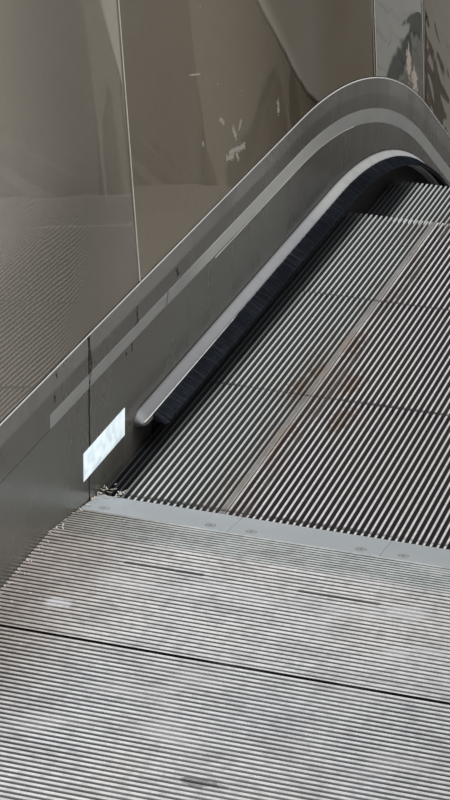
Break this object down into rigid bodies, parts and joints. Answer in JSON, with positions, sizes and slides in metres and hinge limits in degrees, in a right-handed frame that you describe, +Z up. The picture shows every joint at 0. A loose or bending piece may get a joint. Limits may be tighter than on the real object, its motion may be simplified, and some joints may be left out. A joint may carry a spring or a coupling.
{
  "type": "escalator",
  "caption": "Escalator with grooved steps, combs at both landings, leaning metal balustrades with handrail loops, skirt brushes and a clad truss on support angles.",
  "frame": {"origin": "middle of the lower support angle's underside, the bearing face on the building", "axes": "+X level along the run, from the upper landing to the lower one, +Y to the left of a person looking down the run, +Z up"},
  "size_m": [11.3601, 1.394, 4.187],
  "materials": {
    "structure": "grey primer on rolled steel",
    "support": "dark grey primer, bare at the bearing face",
    "cladding": "satin stainless sheet",
    "skirt": "dark polished sheet with a low-friction coat, scuffed",
    "band": "dark polished sheet",
    "strip": "satin stainless strip",
    "panel": "mirror-polished sheet, bronze tone, scratched",
    "cap": "satin stainless profile",
    "handrail": "black moulded rubber, smooth",
    "inlet": "black moulded plate",
    "holder": "satin anodised",
    "bristle": "black nylon bristles",
    "light": "white translucent lens",
    "comb": "smooth cast aluminium, worn bright",
    "floor": "ribbed aluminium, worn and stained in the grooves",
    "step": "die-cast, dark grooves, cleats worn bright"
  },
  "bodies": {
    "root": {"truss": "structure", "tracks": "structure", "upper_support": "support", "lower_support": "support", "soffit": "cladding", "left_casing": "cladding", "right_casing": "cladding", "balustrade_posts": "structure", "left_skirt": "skirt", "right_skirt": "skirt", "left_band": "band", "right_band": "band", "strips": "strip", "left_inner_panels": "panel", "right_inner_panels": "panel", "left_outer_panels": "cladding", "right_outer_panels": "cladding", "left_cap": "cap", "right_cap": "cap", "left_handrail": "handrail", "right_handrail": "handrail", "handrail_inlets": "inlet", "left_brush_holder": "holder", "right_brush_holder": "holder", "brushes": "bristle", "comb_lights": "light", "upper_combs": "comb", "lower_combs": "comb", "upper_comb_plate": "floor", "lower_comb_plate": "floor", "upper_floor_covers": "floor", "lower_floor_covers": "floor", "step_01": "step", "step_02": "step", "step_03": "step", "step_04": "step", "step_05": "step", "step_06": "step", "step_07": "step", "step_08": "step", "step_09": "step", "step_10": "step", "step_11": "step", "step_12": "step", "step_13": "step", "step_14": "step", "step_15": "step", "step_16": "step", "step_17": "step", "step_18": "step", "step_19": "step", "step_20": "step"}
  },
  "joints": []
}
